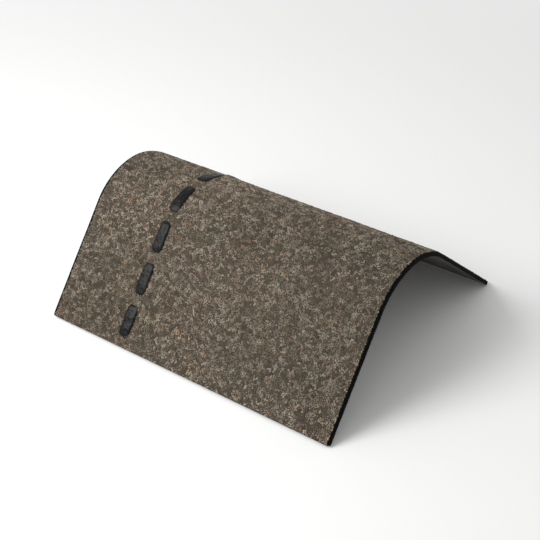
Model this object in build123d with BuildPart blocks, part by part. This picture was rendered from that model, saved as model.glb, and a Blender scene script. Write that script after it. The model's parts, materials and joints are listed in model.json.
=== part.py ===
from build123d import *
import math
import os

# Hip and ridge cap shingle, bent over its centre line as it is when laid on a ridge.
#
# The cap is one stiff sheet: a glass mat soaked and coated in asphalt, with mineral granules on top and
# fine dust underneath. Across the lap, just behind the part that stays in view, runs a dashed strip of
# sealant that the next cap sticks to. Sizes are in millimetres.
#
# +X runs along the ridge towards the butt, the end that stays in view, and the head is at -X. +Y is
# across the ridge and +Z is up. The origin is on the floor under the middle of the cap, which stands on
# the lower edges of its two wings.

# The sheet as it is cut, before it is bent
exposure = 203.0  # along the ridge, from the butt to the line that the next cap covers
headlap = 102.0  # along the ridge, from that line to the head
flat_width = 320.0  # across the ridge, measured round the bend at half the thickness
sheet_thickness = 4.2
corner_radius = 2.0  # of the die-cut corners, seen square on

# The bend over the ridge
wing_slope = 46.0  # degrees below level, on each side
bend_radius = 60.0  # of the underside

# The self-seal strip, a row of beads on the granule face
strip_setback = 14.0  # from the covered line to the near side of the beads
strip_width = 13.0
strip_edge_gap = 9.0  # least distance from the end beads to the sheet's lower edges
bead_length = 30.0
bead_gap = 9.0
bead_height = 1.1
bead_corner_radius = 5.0
bead_top_radius = 0.7

# What follows from them
cap_length = exposure + headlap
head_x = -cap_length / 2
covered_line_x = head_x + headlap
strip_centre_x = covered_line_x - strip_setback - strip_width / 2
bend_angle = math.radians(wing_slope)  # turned through on each side of the ridge line
wing_length = flat_width / 2 - (bend_radius + sheet_thickness / 2) * bend_angle
bend_centre_z = wing_length * math.sin(bend_angle) - bend_radius * math.cos(bend_angle)


def bend_arc(height):
    """The bend at this height above the underside, seen along the ridge, from the +Y wing to the other."""
    return CenterArc((0, bend_centre_z), bend_radius + height, 90 - wing_slope, 2 * wing_slope)


def layer_outline(low, high, edge_gap):
    """Draws round a layer that follows the bent sheet, from low to high above its underside."""
    under = bend_arc(low)
    over = bend_arc(high)
    reach = wing_length - edge_gap
    for end, direction in ((0, -wing_slope), (1, 180 + wing_slope)):
        wing_under = PolarLine(under @ end, reach, direction)
        wing_over = PolarLine(over @ end, reach, direction)
        Line(wing_under @ 1, wing_over @ 1)


def edges_through(part, thickness):
    """The short straight edges that run square through a layer, at its corners."""
    return part.edges().filter_by(GeomType.LINE).filter_by(
        lambda edge: math.isclose(edge.length, thickness, rel_tol=1e-4)
    )


# The sheet, drawn as seen along the ridge and drawn out from the head to the butt
with BuildPart() as cap_sheet:
    with BuildSketch(Plane.YZ.offset(head_x)):
        with BuildLine():
            layer_outline(0, sheet_thickness, 0)
        make_face()
    extrude(amount=cap_length)
    fillet(edges_through(cap_sheet, sheet_thickness), corner_radius)

# The line over the granule face, from one lower edge to the other, that the beads are spaced along
with BuildLine(Plane.YZ) as girth:
    granule_arc = bend_arc(sheet_thickness)
    PolarLine(granule_arc @ 0, wing_length, -wing_slope)
    PolarLine(granule_arc @ 1, wing_length, 180 + wing_slope)
girth_line = girth.wire()
bead_pitch = bead_length + bead_gap
bead_count = math.floor((girth_line.length - 2 * strip_edge_gap + bead_gap) / bead_pitch)
strip_end_gap = (girth_line.length - bead_count * bead_pitch + bead_gap) / 2

# The self-seal strip, one layer on the granule face that gaps, cut square to the face, part into beads
with BuildPart() as self_seal_strip:
    with BuildSketch(Plane.YZ.offset(strip_centre_x)):
        with BuildLine():
            layer_outline(sheet_thickness, sheet_thickness + bead_height, strip_end_gap)
        make_face()
        for gap_number in range(1, bead_count):
            station = strip_end_gap + gap_number * bead_pitch - bead_gap / 2
            place = girth_line.location_at(station, position_mode=PositionMode.LENGTH).position
            along = girth_line.tangent_at(station, position_mode=PositionMode.LENGTH)
            with Locations((place.Y, place.Z)):
                Rectangle(
                    bead_gap,
                    2 * bead_height + bead_gap,
                    rotation=math.degrees(math.atan2(along.Z, along.Y)),
                    mode=Mode.SUBTRACT,
                )
    extrude(amount=strip_width / 2, both=True)
    fillet(edges_through(self_seal_strip, bead_height), min(bead_corner_radius, 0.45 * strip_width))
    top_edges = self_seal_strip.edges().filter_by(
        lambda edge: edge.distance_to(cap_sheet.part) > bead_height / 2
        and not math.isclose(edge.length, strip_width, rel_tol=1e-4)
    )
    fillet(top_edges, min(bead_top_radius, 0.8 * bead_height))

# Each piece is written under its own name
os.makedirs("parts", exist_ok=True)
cap_sheet.part.label = "cap_sheet"
self_seal_strip.part.label = "self_seal_strip"
export_step(cap_sheet.part, "parts/cap_sheet.step")
export_step(self_seal_strip.part, "parts/self_seal_strip.step")
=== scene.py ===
# %% [markdown]
# A hip and ridge cap shingle is a small sheet of roofing, bent over the ridge of a roof. It is a glass mat
# soaked and coated in asphalt, with crushed and coloured rock pressed into the top while the coating is
# hot, and fine sand on the back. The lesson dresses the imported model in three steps: the asphalt sheet with
# its cut edges, the many thousand granules on it, and the beads of sealant across its lap.
#
# Everything is in metres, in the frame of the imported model: the ridge runs along X, the butt that stays in
# view is at +X, and Z is up from the floor.

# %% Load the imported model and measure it
import json
import math

import bmesh
import bpy
import numpy as np
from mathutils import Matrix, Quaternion, Vector

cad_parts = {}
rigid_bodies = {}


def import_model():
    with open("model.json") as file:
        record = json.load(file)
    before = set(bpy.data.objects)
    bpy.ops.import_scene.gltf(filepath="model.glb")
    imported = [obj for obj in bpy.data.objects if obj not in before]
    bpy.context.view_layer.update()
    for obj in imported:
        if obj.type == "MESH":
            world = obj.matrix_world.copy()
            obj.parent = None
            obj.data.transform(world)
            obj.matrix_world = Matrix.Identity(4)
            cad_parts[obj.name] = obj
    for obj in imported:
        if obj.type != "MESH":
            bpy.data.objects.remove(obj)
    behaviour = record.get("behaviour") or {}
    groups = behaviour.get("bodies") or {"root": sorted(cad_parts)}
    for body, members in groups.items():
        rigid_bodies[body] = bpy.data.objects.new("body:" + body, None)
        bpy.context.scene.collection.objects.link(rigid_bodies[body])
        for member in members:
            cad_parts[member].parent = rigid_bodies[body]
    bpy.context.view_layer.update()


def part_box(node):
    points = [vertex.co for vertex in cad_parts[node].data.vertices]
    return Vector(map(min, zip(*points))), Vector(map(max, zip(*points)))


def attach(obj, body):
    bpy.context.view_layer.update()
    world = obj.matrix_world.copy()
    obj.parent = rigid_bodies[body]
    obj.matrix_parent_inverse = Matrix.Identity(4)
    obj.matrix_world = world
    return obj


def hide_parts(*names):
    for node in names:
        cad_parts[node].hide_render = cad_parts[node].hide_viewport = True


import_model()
MM = 0.001
sheet_low, sheet_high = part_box("cap_sheet")
strip_low, strip_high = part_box("self_seal_strip")
print("sheet, mm:", [round(side / MM, 2) for side in sheet_high - sheet_low])
print("seal strip, mm:", [round(side / MM, 2) for side in strip_high - strip_low])

# %% [markdown]
# Three helpers for materials and node trees. Colours are written as they look on a screen, as sRGB hex, and
# one function turns them into the linear numbers that shaders work in. Another adds a node: it sets the
# node's own properties and the stops of a colour ramp, and each input gets a plain value or a link. A node
# given as a value is linked by its first live output, so that a tree reads as a chain of named steps. The
# third starts a material with an empty tree.

# %% Helpers for colours and nodes
def linear(hex_colour):
    """An sRGB hex colour as linear red, green, blue and alpha."""
    shares = [int(hex_colour[start : start + 2], 16) / 255 for start in (1, 3, 5)]
    return (*(s / 12.92 if s <= 0.04045 else ((s + 0.055) / 1.055) ** 2.4 for s in shares), 1.0)


def add_node(tree, kind, inputs=None, stops=(), **settings):
    """Adds a node. Inputs go by name, or by number, and are plain values, outputs or nodes."""
    node = tree.nodes.new(kind)
    for name, value in settings.items():
        setattr(node, name, value)
    if stops:
        ramp = node.color_ramp.elements
        ramp.remove(ramp[1])
        ramp[0].position, ramp[0].color = stops[0][0], linear(stops[0][1])
        for position, colour in stops[1:]:
            ramp.new(position).color = linear(colour)
    for name, value in (inputs or {}).items():
        named = [socket for socket in node.inputs if socket.enabled and socket.name == name]
        socket = node.inputs[name] if isinstance(name, int) else named[0]
        if isinstance(value, bpy.types.Node):
            value = next(output for output in value.outputs if output.enabled)
        if isinstance(value, bpy.types.NodeSocket):
            tree.links.new(value, socket)
        else:
            socket.default_value = value
    return node


def new_material(name):
    """A material with an empty node tree."""
    material = bpy.data.materials.new(name)
    material.use_nodes = True
    material.node_tree.nodes.clear()
    return material, material.node_tree


print("mid brown in linear numbers:", [round(part, 3) for part in linear("#625a4e")])

# %% [markdown]
# Two helpers for geometry nodes. One starts a tree with named inputs and outputs. The other runs a tree on
# a piece: it sets the modifier's inputs by their sockets' identifiers, keeps the result as a plain mesh and
# takes the modifier away again. A mesh that a tree makes from nothing starts with an empty material slot,
# which goes.

# %% Start a tree, and run one on a piece
def new_tree(name, inputs, outputs):
    """A geometry node tree with these sockets, and the outputs of its group input."""
    tree = bpy.data.node_groups.new(name, "GeometryNodeTree")
    for way, sockets in (("INPUT", inputs), ("OUTPUT", outputs)):
        for socket, kind in sockets.items():
            tree.interface.new_socket(name=socket, in_out=way, socket_type=f"NodeSocket{kind}")
    return tree, add_node(tree, "NodeGroupInput").outputs


def make_piece(name, start_mesh, tree, settings):
    """An object with the plain mesh that a tree makes with these settings."""
    piece = bpy.data.objects.new(name, start_mesh)
    bpy.context.collection.objects.link(piece)
    tree.is_modifier = True
    identifiers = {
        item.name: item.identifier
        for item in tree.interface.items_tree
        if item.item_type == "SOCKET" and item.in_out == "INPUT"
    }
    modifier = piece.modifiers.new(tree.name, "NODES")
    modifier.node_group = tree
    for setting, value in settings.items():
        modifier[identifiers[setting]] = value
    graph = bpy.context.evaluated_depsgraph_get()
    mesh = bpy.data.meshes.new_from_object(piece.evaluated_get(graph))
    for slot in reversed(range(len(mesh.materials))):
        if mesh.materials[slot] is None:
            mesh.materials.pop(index=slot)
    piece.modifiers.clear()
    piece.data = mesh
    print(name, "faces:", len(mesh.polygons))
    return piece


# %% [markdown]
# The bend. Every piece here follows the bent sheet, so each is drawn flat first and one tree of geometry
# nodes bends it. On a flat piece X is the place along the ridge, Y the place round the girth, counted from
# the ridge line at half the thickness, and Z the height above the underside. The middle of the sheet turns
# round an arc and the wings go on straight. A Simple Deform modifier could bend a flat sheet too, but it
# would leave the wings curved.

# %% Sizes of the bend
SHEET_THICKNESS = 4.2 * MM
WING_SLOPE = math.radians(46.0)
BEND_RADIUS = 60.0 * MM

half_length = (sheet_high.x - sheet_low.x) / 2
outer_reach = (BEND_RADIUS + SHEET_THICKNESS) * math.sin(WING_SLOPE)
wing_length = (sheet_high.y - outer_reach) / math.cos(WING_SLOPE)
neutral_radius = BEND_RADIUS + SHEET_THICKNESS / 2
half_arc = neutral_radius * WING_SLOPE
half_girth = half_arc + wing_length
print("flat width, mm:", round(2 * half_girth / MM, 1))

# %% [markdown]
# A real cap is never quite true: it swells and dips by a few tenths of a millimetre. A wide noise over the
# flat sheet gives that. It fades out at the lower edges, which stand on the floor.

# %% How far the sheet stands off its true shape
SWELL_SETTINGS = {
    "Half Girth": half_girth,
    "Swell": 0.5 * MM,
    "Swell Length": 60.0 * MM,
    "Steady Rim": 30.0 * MM,
}


def swell_tree():
    """Nodes that say how far the bent sheet stands off its true shape, from the place on the flat one."""
    tree, given = new_tree(
        "swell of the sheet", {name: "Float" for name in SWELL_SETTINGS}, {"Height": "Float"}
    )
    place = add_node(tree, "GeometryNodeInputPosition")
    flat = add_node(tree, "ShaderNodeSeparateXYZ", {"Vector": place}).outputs
    from_ridge = add_node(tree, "ShaderNodeMath", {0: flat["Y"]}, operation="ABSOLUTE")
    to_rim = add_node(
        tree, "ShaderNodeMath", {0: given["Half Girth"], 1: from_ridge}, operation="SUBTRACT"
    )
    free = add_node(tree, "ShaderNodeMapRange", {"Value": to_rim, "From Max": given["Steady Rim"]})
    spot = add_node(tree, "ShaderNodeCombineXYZ", {"X": flat["X"], "Y": flat["Y"]})
    waves_per_metre = add_node(
        tree, "ShaderNodeMath", {0: 1.0, 1: given["Swell Length"]}, operation="DIVIDE"
    )
    waves = add_node(
        tree, "ShaderNodeTexNoise", {"Vector": spot, "Scale": waves_per_metre, "Detail": 1.0}
    )
    up_or_down = add_node(
        tree, "ShaderNodeMapRange", {"Value": waves, "To Min": -1.0, "To Max": 1.0}, clamp=False
    )
    most = add_node(tree, "ShaderNodeMath", {0: free, 1: given["Swell"]}, operation="MULTIPLY")
    height = add_node(tree, "ShaderNodeMath", {0: up_or_down, 1: most}, operation="MULTIPLY")
    add_node(tree, "NodeGroupOutput", {"Height": height})
    return tree


swell = swell_tree()
print("swell, at most, mm:", SWELL_SETTINGS["Swell"] / MM)

# %% [markdown]
# The bending itself is short, because one rotation does both parts of it. A point's place round the girth is
# split into what lies on the arc and what is left over, down the wing. The point is put that far out from the
# middle of the bend and turned round it by the angle of its part of the arc. That angle is the part's length
# over the radius at half the thickness, where a bent sheet keeps its length.

# %% The tree that bends
BEND_SETTINGS = {
    "Bend Radius": BEND_RADIUS,
    "Neutral Radius": neutral_radius,
    "Half Arc": half_arc,
    "Centre Height": wing_length * math.sin(WING_SLOPE) - BEND_RADIUS * math.cos(WING_SLOPE),
}


def bend_tree():
    """Nodes that bend a flat piece over the ridge."""
    tree, given = new_tree(
        "bend over the ridge",
        {"Flat": "Geometry", **{name: "Float" for name in BEND_SETTINGS}},
        {"Bent": "Geometry"},
    )
    place = add_node(tree, "GeometryNodeInputPosition")
    flat = add_node(tree, "ShaderNodeSeparateXYZ", {"Vector": place}).outputs
    arc_start = add_node(tree, "ShaderNodeMath", {0: given["Half Arc"], 1: -1.0}, operation="MULTIPLY")
    on_arc = add_node(
        tree, "ShaderNodeClamp", {"Value": flat["Y"], "Min": arc_start, "Max": given["Half Arc"]}
    )
    down_wing = add_node(tree, "ShaderNodeMath", {0: flat["Y"], 1: on_arc}, operation="SUBTRACT")
    angle = add_node(tree, "ShaderNodeMath", {0: on_arc, 1: given["Neutral Radius"]}, operation="DIVIDE")
    clockwise = add_node(tree, "ShaderNodeMath", {0: angle, 1: -1.0}, operation="MULTIPLY")
    off_true = add_node(tree, "GeometryNodeGroup", SWELL_SETTINGS, node_tree=swell)
    height = add_node(tree, "ShaderNodeMath", {0: flat["Z"], 1: off_true}, operation="ADD")
    reach = add_node(tree, "ShaderNodeMath", {0: given["Bend Radius"], 1: height}, operation="ADD")
    upright = add_node(tree, "ShaderNodeCombineXYZ", {"X": flat["X"], "Y": down_wing, "Z": reach})
    turned = add_node(
        tree, "ShaderNodeVectorRotate", {"Vector": upright, "Angle": clockwise}, rotation_type="X_AXIS"
    )
    centre = add_node(tree, "ShaderNodeCombineXYZ", {"Z": given["Centre Height"]})
    on_floor = add_node(tree, "ShaderNodeVectorMath", {0: turned, 1: centre}, operation="ADD")
    bent = add_node(tree, "GeometryNodeSetPosition", {"Geometry": given["Flat"], "Position": on_floor})
    add_node(tree, "NodeGroupOutput", {"Bent": bent})
    return tree


bend = bend_tree()
print("bend, mm:", {name: round(size / MM, 2) for name, size in BEND_SETTINGS.items()})

# %% [markdown]
# The camera comes early, so that each later step can be looked at. It stands where the photograph's camera
# stood: high over the near wing, on the butt's side, and a little rolled, so that the ridge runs down to the
# right. A long lens keeps the photograph's mild perspective. The function that aims it serves the lamp too.

# %% Camera
CAMERA_AZIMUTH = math.radians(41.4)
CAMERA_ELEVATION = math.radians(36.9)
CAMERA_ROLL = math.radians(-6.0)
CAMERA_DISTANCE = 1.13
CAMERA_LENS = 86.0  # in millimetres, as a lens is named, and so is the sensor
CAMERA_SENSOR = 36.0
CAMERA_AIM = Vector((0.004, 0.0, 0.036))


def aimed(name, data, aim, azimuth, elevation, distance, roll=0.0):
    """An object that faces a point from this far off. Azimuth is counted from the front, -Y, towards +X."""
    way = Vector(
        (
            math.sin(azimuth) * math.cos(elevation),
            -math.cos(azimuth) * math.cos(elevation),
            math.sin(elevation),
        )
    )
    thing = bpy.data.objects.new(name, data)
    bpy.context.collection.objects.link(thing)
    thing.location = aim + distance * way
    thing.rotation_mode = "QUATERNION"
    thing.rotation_quaternion = (-way).to_track_quat("-Z", "Y") @ Quaternion((0, 0, 1), roll)
    return thing


camera_data = bpy.data.cameras.new("camera")
camera_data.lens = CAMERA_LENS
camera_data.sensor_width = CAMERA_SENSOR
camera = aimed(
    "camera", camera_data, CAMERA_AIM, CAMERA_AZIMUTH, CAMERA_ELEVATION, CAMERA_DISTANCE, CAMERA_ROLL
)
bpy.context.scene.camera = camera
print("camera at", [round(side, 3) for side in camera.location])

# %% [markdown]
# The studio: a wide pale floor and soft light. The light comes mostly from all round, as under an open sky,
# so the wings are only a little darker than the crown. One large lamp, high on the camera's left, gives the
# granules their small shadows. What the camera sees past the floor is plain white, and so is what gloss
# mirrors, without any more light falling on the cap. The floor fades to that white away from the cap, so that
# no view shows a horizon.

# %% Floor, world and lamp
FLOOR_HALF = 4.0
FADE_START = 0.4
FADE_END = 1.3
floor_mesh = bpy.data.meshes.new("floor")
floor_mesh.from_pydata(
    [(x * FLOOR_HALF, y * FLOOR_HALF, 0.0) for x, y in ((-1, -1), (1, -1), (1, 1), (-1, 1))],
    [],
    [(0, 1, 2, 3)],
)
floor = bpy.data.objects.new("floor", floor_mesh)
bpy.context.collection.objects.link(floor)


def shown_white(tree):
    """1 for what the camera, gloss or glass sees, and 0 for the light that falls on things."""
    ray = add_node(tree, "ShaderNodeLightPath").outputs
    glass_or_gloss = add_node(
        tree, "ShaderNodeMath", {0: ray["Is Glossy Ray"], 1: ray["Is Transmission Ray"]}, operation="MAXIMUM"
    )
    return add_node(
        tree, "ShaderNodeMath", {0: ray["Is Camera Ray"], 1: glass_or_gloss}, operation="MAXIMUM"
    )


material, tree = new_material("matte pale studio floor")
place = add_node(tree, "ShaderNodeTexCoord").outputs["Object"]
away = add_node(tree, "ShaderNodeVectorMath", {0: place}, operation="LENGTH")
fade = add_node(
    tree,
    "ShaderNodeMapRange",
    {"Value": away, "From Min": FADE_START, "From Max": FADE_END},
    interpolation_type="SMOOTHSTEP",
)
whitened = add_node(tree, "ShaderNodeMath", {0: fade, 1: shown_white(tree)}, operation="MULTIPLY")
diffuse = add_node(tree, "ShaderNodeBsdfDiffuse", {"Color": linear("#f3f3f2")})
white = add_node(tree, "ShaderNodeEmission", {"Color": linear("#ffffff")})
surface = add_node(tree, "ShaderNodeMixShader", {"Fac": whitened, 1: diffuse, 2: white})
add_node(tree, "ShaderNodeOutputMaterial", {"Surface": surface})
floor_mesh.materials.append(material)

WORLD_LIGHT = 0.62
world = bpy.data.worlds.new("soft white studio")
world.use_nodes = True
tree = world.node_tree
tree.nodes.clear()
strength = add_node(
    tree, "ShaderNodeMix", {"Factor": shown_white(tree), "A": WORLD_LIGHT, "B": 1.0}, data_type="FLOAT"
)
background = add_node(tree, "ShaderNodeBackground", {"Color": linear("#ffffff"), "Strength": strength})
add_node(tree, "ShaderNodeOutputWorld", {"Surface": background})
bpy.context.scene.world = world

LAMP_AZIMUTH = math.radians(-38.0)
LAMP_ELEVATION = math.radians(46.0)
LAMP_DISTANCE = 1.2
LAMP_SIZE = 0.7
LAMP_POWER = 11.5
LAMP_AIM = Vector((0.0, 0.0, 0.0))
lamp_data = bpy.data.lights.new("lamp", "AREA")
lamp_data.energy = LAMP_POWER
lamp_data.size = LAMP_SIZE
lamp = aimed("lamp", lamp_data, LAMP_AIM, LAMP_AZIMUTH, LAMP_ELEVATION, LAMP_DISTANCE)
bpy.context.scene.view_settings.view_transform = "Standard"
print("lamp at", [round(side, 2) for side in lamp.location])

# %% [markdown]
# The sheet's three finishes. Between the granules the coating holds crushed rock fines, so it is a dark,
# matte brown with a fine grain. The back is dusted with sand so that caps don't stick together, and looks
# like coarse dark sandpaper, with thin and thick spots about a centimetre wide that are drawn out the way the
# web ran, round the girth. Both are the same kind of finish: a noise as wide as the grain picks the colour
# and gives the relief and the change of gloss, and a wide drawn-out noise says how thickly it is dusted.
#
# Rock fines are up to half a millimetre wide and are drawn so. Real sand is about 0.3 mm wide, too fine to
# show here, so the back's grain is drawn four times as coarse. Most of a noise's values lie between 0.3 and
# 0.7, so that is the span that is spread over a range.

# %% Coating with rock fines, and sanded back
NOISE_MIDDLE = {"From Min": 0.3, "From Max": 0.7}
DUST_SPOT_WIDTH = 11.0 * MM
DRAWN_OUT = (1.0, 0.25, 0.25)  # a spot is four times as long round the girth as along the ridge
DUSTING = 0.07  # how far a thick or thin spot moves the colour along its ramp


def mineral_finish(name, stops, grain, relief_depth):
    """Mineral dust pressed into asphalt, with grains of this width."""
    material, tree = new_material(name)
    place = add_node(tree, "ShaderNodeTexCoord").outputs["Object"]
    grains = add_node(
        tree, "ShaderNodeTexNoise", {"Vector": place, "Scale": 1 / grain, "Detail": 3.0, "Roughness": 0.6}
    )
    along_web = add_node(tree, "ShaderNodeMapping", {"Vector": place, "Scale": DRAWN_OUT})
    spots = add_node(
        tree, "ShaderNodeTexNoise", {"Vector": along_web, "Scale": 1 / DUST_SPOT_WIDTH, "Detail": 4.0}
    )
    dusting = add_node(
        tree, "ShaderNodeMapRange", {"Value": spots, **NOISE_MIDDLE, "To Min": -DUSTING, "To Max": DUSTING}
    )
    cover = add_node(tree, "ShaderNodeMath", {0: grains, 1: dusting}, operation="ADD")
    colour = add_node(tree, "ShaderNodeValToRGB", {"Fac": cover}, stops)
    dryness = add_node(
        tree, "ShaderNodeMapRange", {"Value": cover, **NOISE_MIDDLE, "To Min": 0.7, "To Max": 0.95}
    )
    relief = add_node(tree, "ShaderNodeBump", {"Height": grains, "Distance": relief_depth})
    shader = add_node(
        tree,
        "ShaderNodeBsdfPrincipled",
        {"Base Color": colour, "Roughness": dryness, "IOR": 1.5, "Normal": relief},
    )
    add_node(tree, "ShaderNodeOutputMaterial", {"Surface": shader})
    return material


coating = mineral_finish(
    "asphalt coating with rock fines",
    ((0.30, "#1e1913"), (0.50, "#312920"), (0.68, "#4a3f32")),
    grain=0.45 * MM,
    relief_depth=0.15 * MM,
)
sanded_back = mineral_finish(
    "sanded asphalt back",
    ((0.36, "#1d1b1a"), (0.50, "#3a3734"), (0.60, "#5d5852"), (0.70, "#7f7870")),
    grain=1.2 * MM,
    relief_depth=0.2 * MM,
)
print("mineral finishes:", coating.name, "and", sanded_back.name)

# %% [markdown]
# The cut edges are bare asphalt filled with limestone dust. A blade shears it, so it is near black and dull,
# with torn pits just under a millimetre wide, and it mirrors next to nothing. That near-black colour is partly
# the asphalt's own and partly painted shade, the shade that falls under a cap's butt. The sealant further on
# is bare asphalt too, so one function makes both: a single noise picks the colour and gives the relief and the
# change of gloss.

# %% Sheared asphalt edges
def bare_asphalt(name, stops, width, relief_depth, noise, roughness, specular):
    """Asphalt with nothing on it. Width is that of a pit in it or of a wave of its skin."""
    material, tree = new_material(name)
    place = add_node(tree, "ShaderNodeTexCoord").outputs["Object"]
    skin = add_node(tree, "ShaderNodeTexNoise", {"Vector": place, "Scale": 1 / width, **noise})
    colour = add_node(tree, "ShaderNodeValToRGB", {"Fac": skin}, stops)
    dullness = add_node(tree, "ShaderNodeMapRange", {"Value": skin, **NOISE_MIDDLE, **roughness})
    relief = add_node(tree, "ShaderNodeBump", {"Height": skin, "Distance": relief_depth})
    shader = add_node(
        tree,
        "ShaderNodeBsdfPrincipled",
        {"Base Color": colour, "Roughness": dullness, "Specular IOR Level": specular, "Normal": relief},
    )
    add_node(tree, "ShaderNodeOutputMaterial", {"Surface": shader})
    return material


# The near-black stops are partly painted shade: the shade under a cap's butt.
sheared_edge_with_shade = bare_asphalt(
    "sheared filled asphalt with painted shade",
    ((0.35, "#030303"), (0.58, "#090808"), (0.74, "#181614")),
    width=0.8 * MM,
    relief_depth=0.2 * MM,
    noise={"Detail": 4.0, "Roughness": 0.65},
    roughness={"To Min": 0.9, "To Max": 0.6},
    specular=0.05,
)
print("finish of the cut edges:", sheared_edge_with_shade.name)

# %% [markdown]
# The asphalt sheet. On the real cap it is what shows between the granules, round the cut edges and on the
# back. It was coated as one wide web and then cut, which presses the edges slightly round and leaves them
# rough. So its tree starts from a flat box of small faces, with a top, a back and a wall of several rows
# between them, and draws each row in by its own inset before the sheet is bent. Solidify could give an open
# sheet its thickness, but not a wall whose rows move in and out.
#
# First the inset: it is largest near the top and the back, where the edge is pressed round, and in between a
# noise as wide as a tear moves the wall unevenly. Nearly all of a noise's values lie between 0.25 and 0.75.

# %% How far the cut edge stands back at each height
NOISE_WHOLE = {"From Min": 0.25, "From Max": 0.75}
ROUNDING_POWER = 4.0  # a higher one keeps the rounding nearer to the top and the back
CUT_SETTINGS = {
    "Top Rounding": 0.40 * MM,
    "Back Rounding": 0.12 * MM,
    "Tear Depth": 0.16 * MM,
    "Tear Width": 1.6 * MM,
}
CUT_INPUTS = {name: "Float" for name in CUT_SETTINGS}


def cut_tree():
    """Nodes that say how far a point is drawn in from the outline. Up Wall is -1 at the back and 1 on top."""
    tree, given = new_tree(
        "inset of the cut edge", {"Up Wall": "Float", **CUT_INPUTS}, {"Inset": "Float"}
    )
    off_waist = add_node(tree, "ShaderNodeMath", {0: given["Up Wall"]}, operation="ABSOLUTE")
    round_share = add_node(tree, "ShaderNodeMath", {0: off_waist, 1: ROUNDING_POWER}, operation="POWER")
    upper = add_node(
        tree, "FunctionNodeCompare", {"A": given["Up Wall"], "B": 0.0}, operation="GREATER_THAN"
    )
    rounding = add_node(
        tree,
        "GeometryNodeSwitch",
        {"Switch": upper, "False": given["Back Rounding"], "True": given["Top Rounding"]},
        input_type="FLOAT",
    )
    rounded = add_node(tree, "ShaderNodeMath", {0: rounding, 1: round_share}, operation="MULTIPLY")

    place = add_node(tree, "GeometryNodeInputPosition")
    tears_per_metre = add_node(
        tree, "ShaderNodeMath", {0: 1.0, 1: given["Tear Width"]}, operation="DIVIDE"
    )
    tears = add_node(
        tree, "ShaderNodeTexNoise", {"Vector": place, "Scale": tears_per_metre, "Detail": 2.0}
    )
    torn = add_node(tree, "ShaderNodeMapRange", {"Value": tears, **NOISE_WHOLE})
    wall_share = add_node(tree, "ShaderNodeMath", {0: 1.0, 1: round_share}, operation="SUBTRACT")
    deepest = add_node(
        tree, "ShaderNodeMath", {0: given["Tear Depth"], 1: wall_share}, operation="MULTIPLY"
    )
    inset = add_node(
        tree, "ShaderNodeMath", {0: torn, 1: deepest, 2: rounded}, operation="MULTIPLY_ADD"
    )
    add_node(tree, "NodeGroupOutput", {"Inset": inset})
    return tree


cut_inset = cut_tree()
print("nodes for the cut edge:", len(cut_inset.nodes))

# %% [markdown]
# Next the plan. Every point is drawn in by the inset, and the die-cut corners are rounded: past the ends of
# the straight sides, the square rows of points round a corner become quarter circles.

# %% The plan of the sheet
def plan_tree():
    """Nodes that move a point of the flat box to its place in the sheet's plan."""
    tree, given = new_tree(
        "plan with rounded corners",
        {"Half Size": "Vector", "Inset": "Float", "Corner Radius": "Float"},
        {"Place": "Vector"},
    )
    place = add_node(tree, "GeometryNodeInputPosition")
    half = given["Half Size"]
    inset = add_node(tree, "ShaderNodeCombineXYZ", {"X": given["Inset"], "Y": given["Inset"]})
    lost_share = add_node(tree, "ShaderNodeVectorMath", {0: inset, 1: half}, operation="DIVIDE")
    share = add_node(
        tree, "ShaderNodeVectorMath", {0: (1.0, 1.0, 1.0), 1: lost_share}, operation="SUBTRACT"
    )
    drawn_in = add_node(tree, "ShaderNodeVectorMath", {0: place, 1: share}, operation="MULTIPLY")

    radius = add_node(
        tree, "ShaderNodeCombineXYZ", {"X": given["Corner Radius"], "Y": given["Corner Radius"]}
    )
    straight = add_node(tree, "ShaderNodeVectorMath", {0: half, 1: radius}, operation="SUBTRACT")
    distance = add_node(tree, "ShaderNodeVectorMath", {0: drawn_in}, operation="ABSOLUTE")
    beyond = add_node(tree, "ShaderNodeVectorMath", {0: distance, 1: straight}, operation="SUBTRACT")
    past = add_node(tree, "ShaderNodeVectorMath", {0: beyond, 1: (0.0, 0.0, 0.0)}, operation="MAXIMUM")
    past_way = add_node(tree, "ShaderNodeSeparateXYZ", {"Vector": past}).outputs
    furthest = add_node(
        tree, "ShaderNodeMath", {0: past_way["X"], 1: past_way["Y"]}, operation="MAXIMUM"
    )
    past_in_plan = add_node(tree, "ShaderNodeCombineXYZ", {"X": past_way["X"], "Y": past_way["Y"]})
    outward = add_node(tree, "ShaderNodeVectorMath", {0: past_in_plan}, operation="NORMALIZE")
    on_round = add_node(
        tree, "ShaderNodeVectorMath", {0: outward, "Scale": furthest}, operation="SCALE"
    )
    kept = add_node(tree, "ShaderNodeVectorMath", {0: distance, 1: past_in_plan}, operation="SUBTRACT")
    rounded = add_node(tree, "ShaderNodeVectorMath", {0: kept, 1: on_round}, operation="ADD")
    side = add_node(tree, "ShaderNodeVectorMath", {0: drawn_in}, operation="SIGN")
    spot = add_node(tree, "ShaderNodeVectorMath", {0: rounded, 1: side}, operation="MULTIPLY")
    add_node(tree, "NodeGroupOutput", {"Place": spot})
    return tree


rounded_plan = plan_tree()
print("nodes for the plan:", len(rounded_plan.nodes))

# %% [markdown]
# Then the three kinds of face are told apart while the box is still flat, by the way they face. A blade shears
# the butt and the head, and it crushes the granules off a narrow rim there. So both end rims of the top wear
# the same bare asphalt as the wall below them, and the two together are the dark line that marks each cap on a
# roof. The rim is partly painted shade: it widens that dark line to stand for the shade that a butt casts on
# the cap below it. The sides are slit by wheels, which leave the granules on.

# %% Mark the faces that are cut, and those of the back
LEVEL = 0.5  # a face whose normal rises or falls more than this is level, and the rest are wall


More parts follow.
